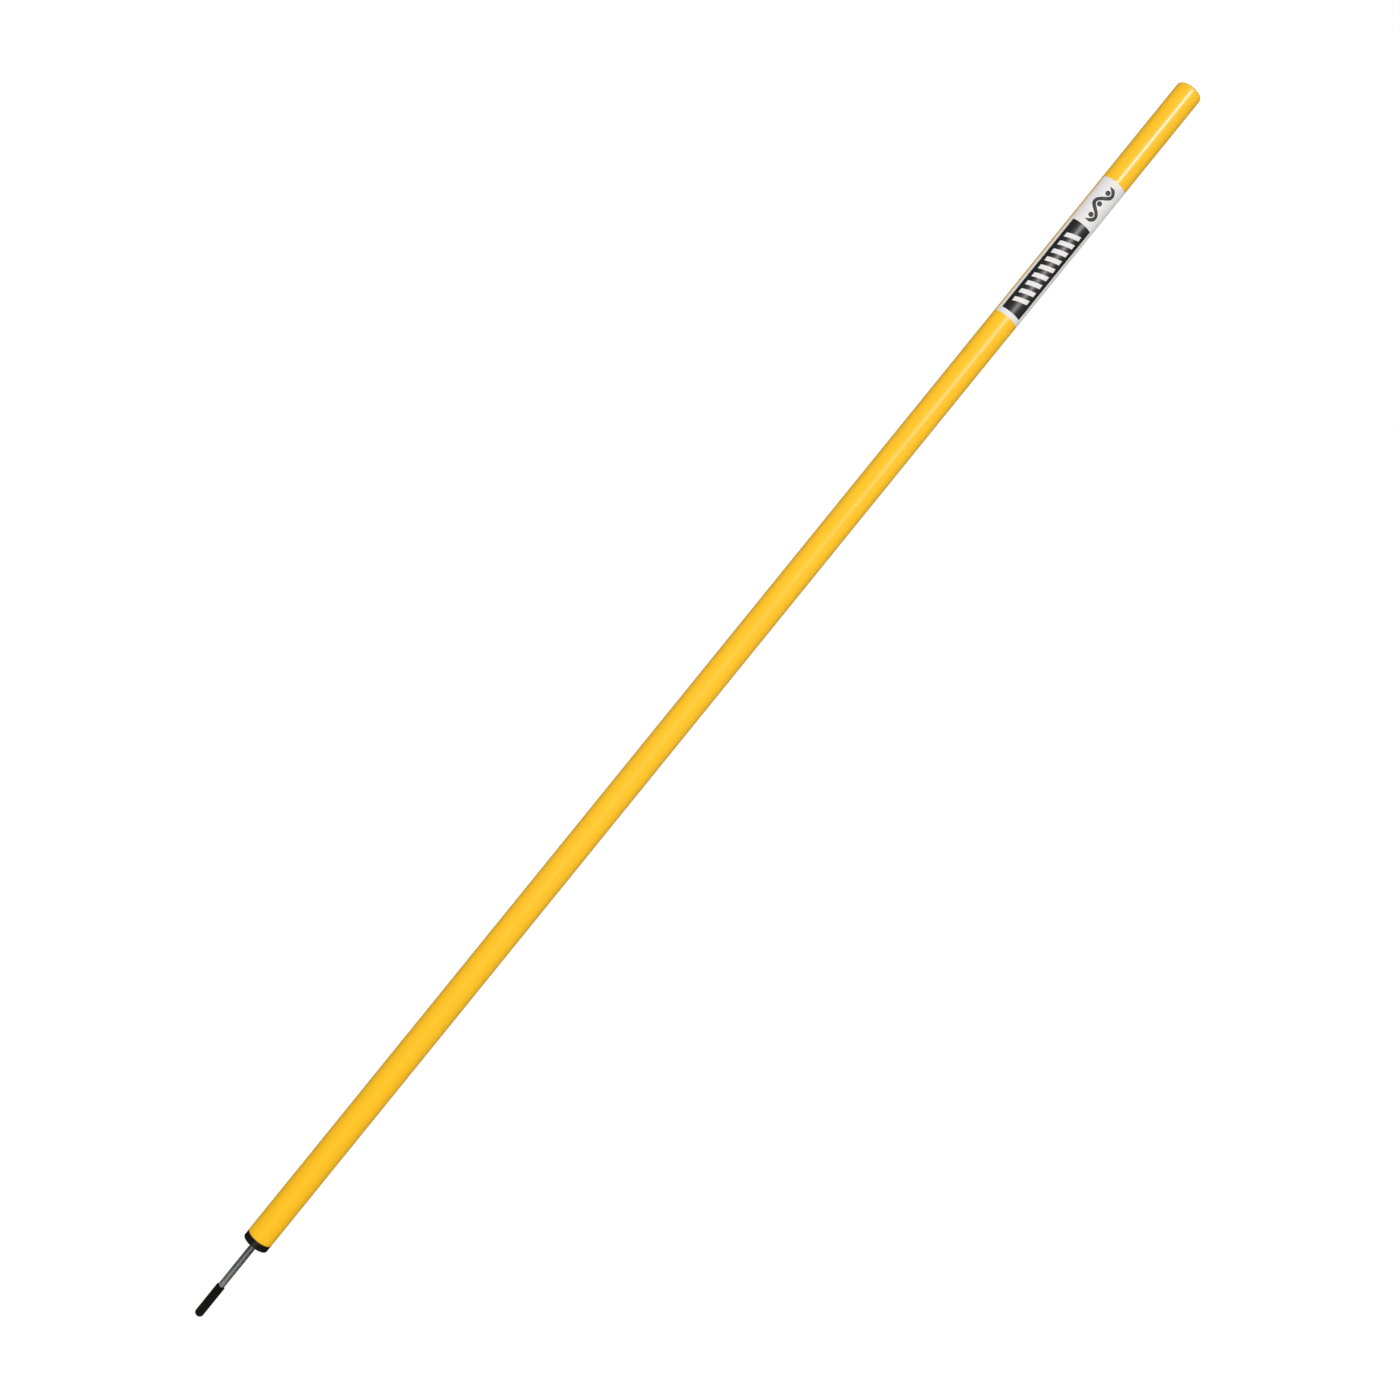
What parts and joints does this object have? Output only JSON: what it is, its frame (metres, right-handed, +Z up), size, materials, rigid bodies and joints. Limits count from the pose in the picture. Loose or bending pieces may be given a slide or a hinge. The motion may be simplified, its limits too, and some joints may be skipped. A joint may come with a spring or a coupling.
{
  "type": "slalom pole",
  "caption": "Straight slalom training pole: thin yellow plastic tube with a rounded cap, a white wrapped label, a black base plug with a steel ground spike, and a push-on guard over its point.",
  "frame": {"origin": "on the pole's axis in the lower face of the base plug, level with the turf when the spike is pushed in", "axes": "+Z up the pole from the spike to the top cap; the label faces -Y"},
  "size_m": [0.0322, 0.0324, 1.7965],
  "materials": {
    "yellow_tube": "glossy extruded plastic",
    "yellow_cap": "glossy moulded plastic",
    "label_film": "printed vinyl film",
    "black_plug": "satin moulded plastic",
    "spike_steel": "dull bare steel rod",
    "plated_steel": "zinc plated",
    "pale_nylon": "natural nylon",
    "guard_rubber": "matt dipped rubber"
  },
  "bodies": {
    "pole": {"pole_tube": "yellow_tube", "top_cap": "yellow_cap", "label_wrap": "label_film", "base_plug": "black_plug", "ground_spike": "spike_steel", "spike_washer": "plated_steel", "spike_nut": "plated_steel", "nut_lock_ring": "pale_nylon"},
    "guard": {"tip_guard": "guard_rubber"}
  },
  "joints": [
    {"name": "guard_pull", "type": "slide", "parent": "pole", "child": "guard", "axis": [0, 0, -1], "range_m": [0, 0.06]}
  ]
}
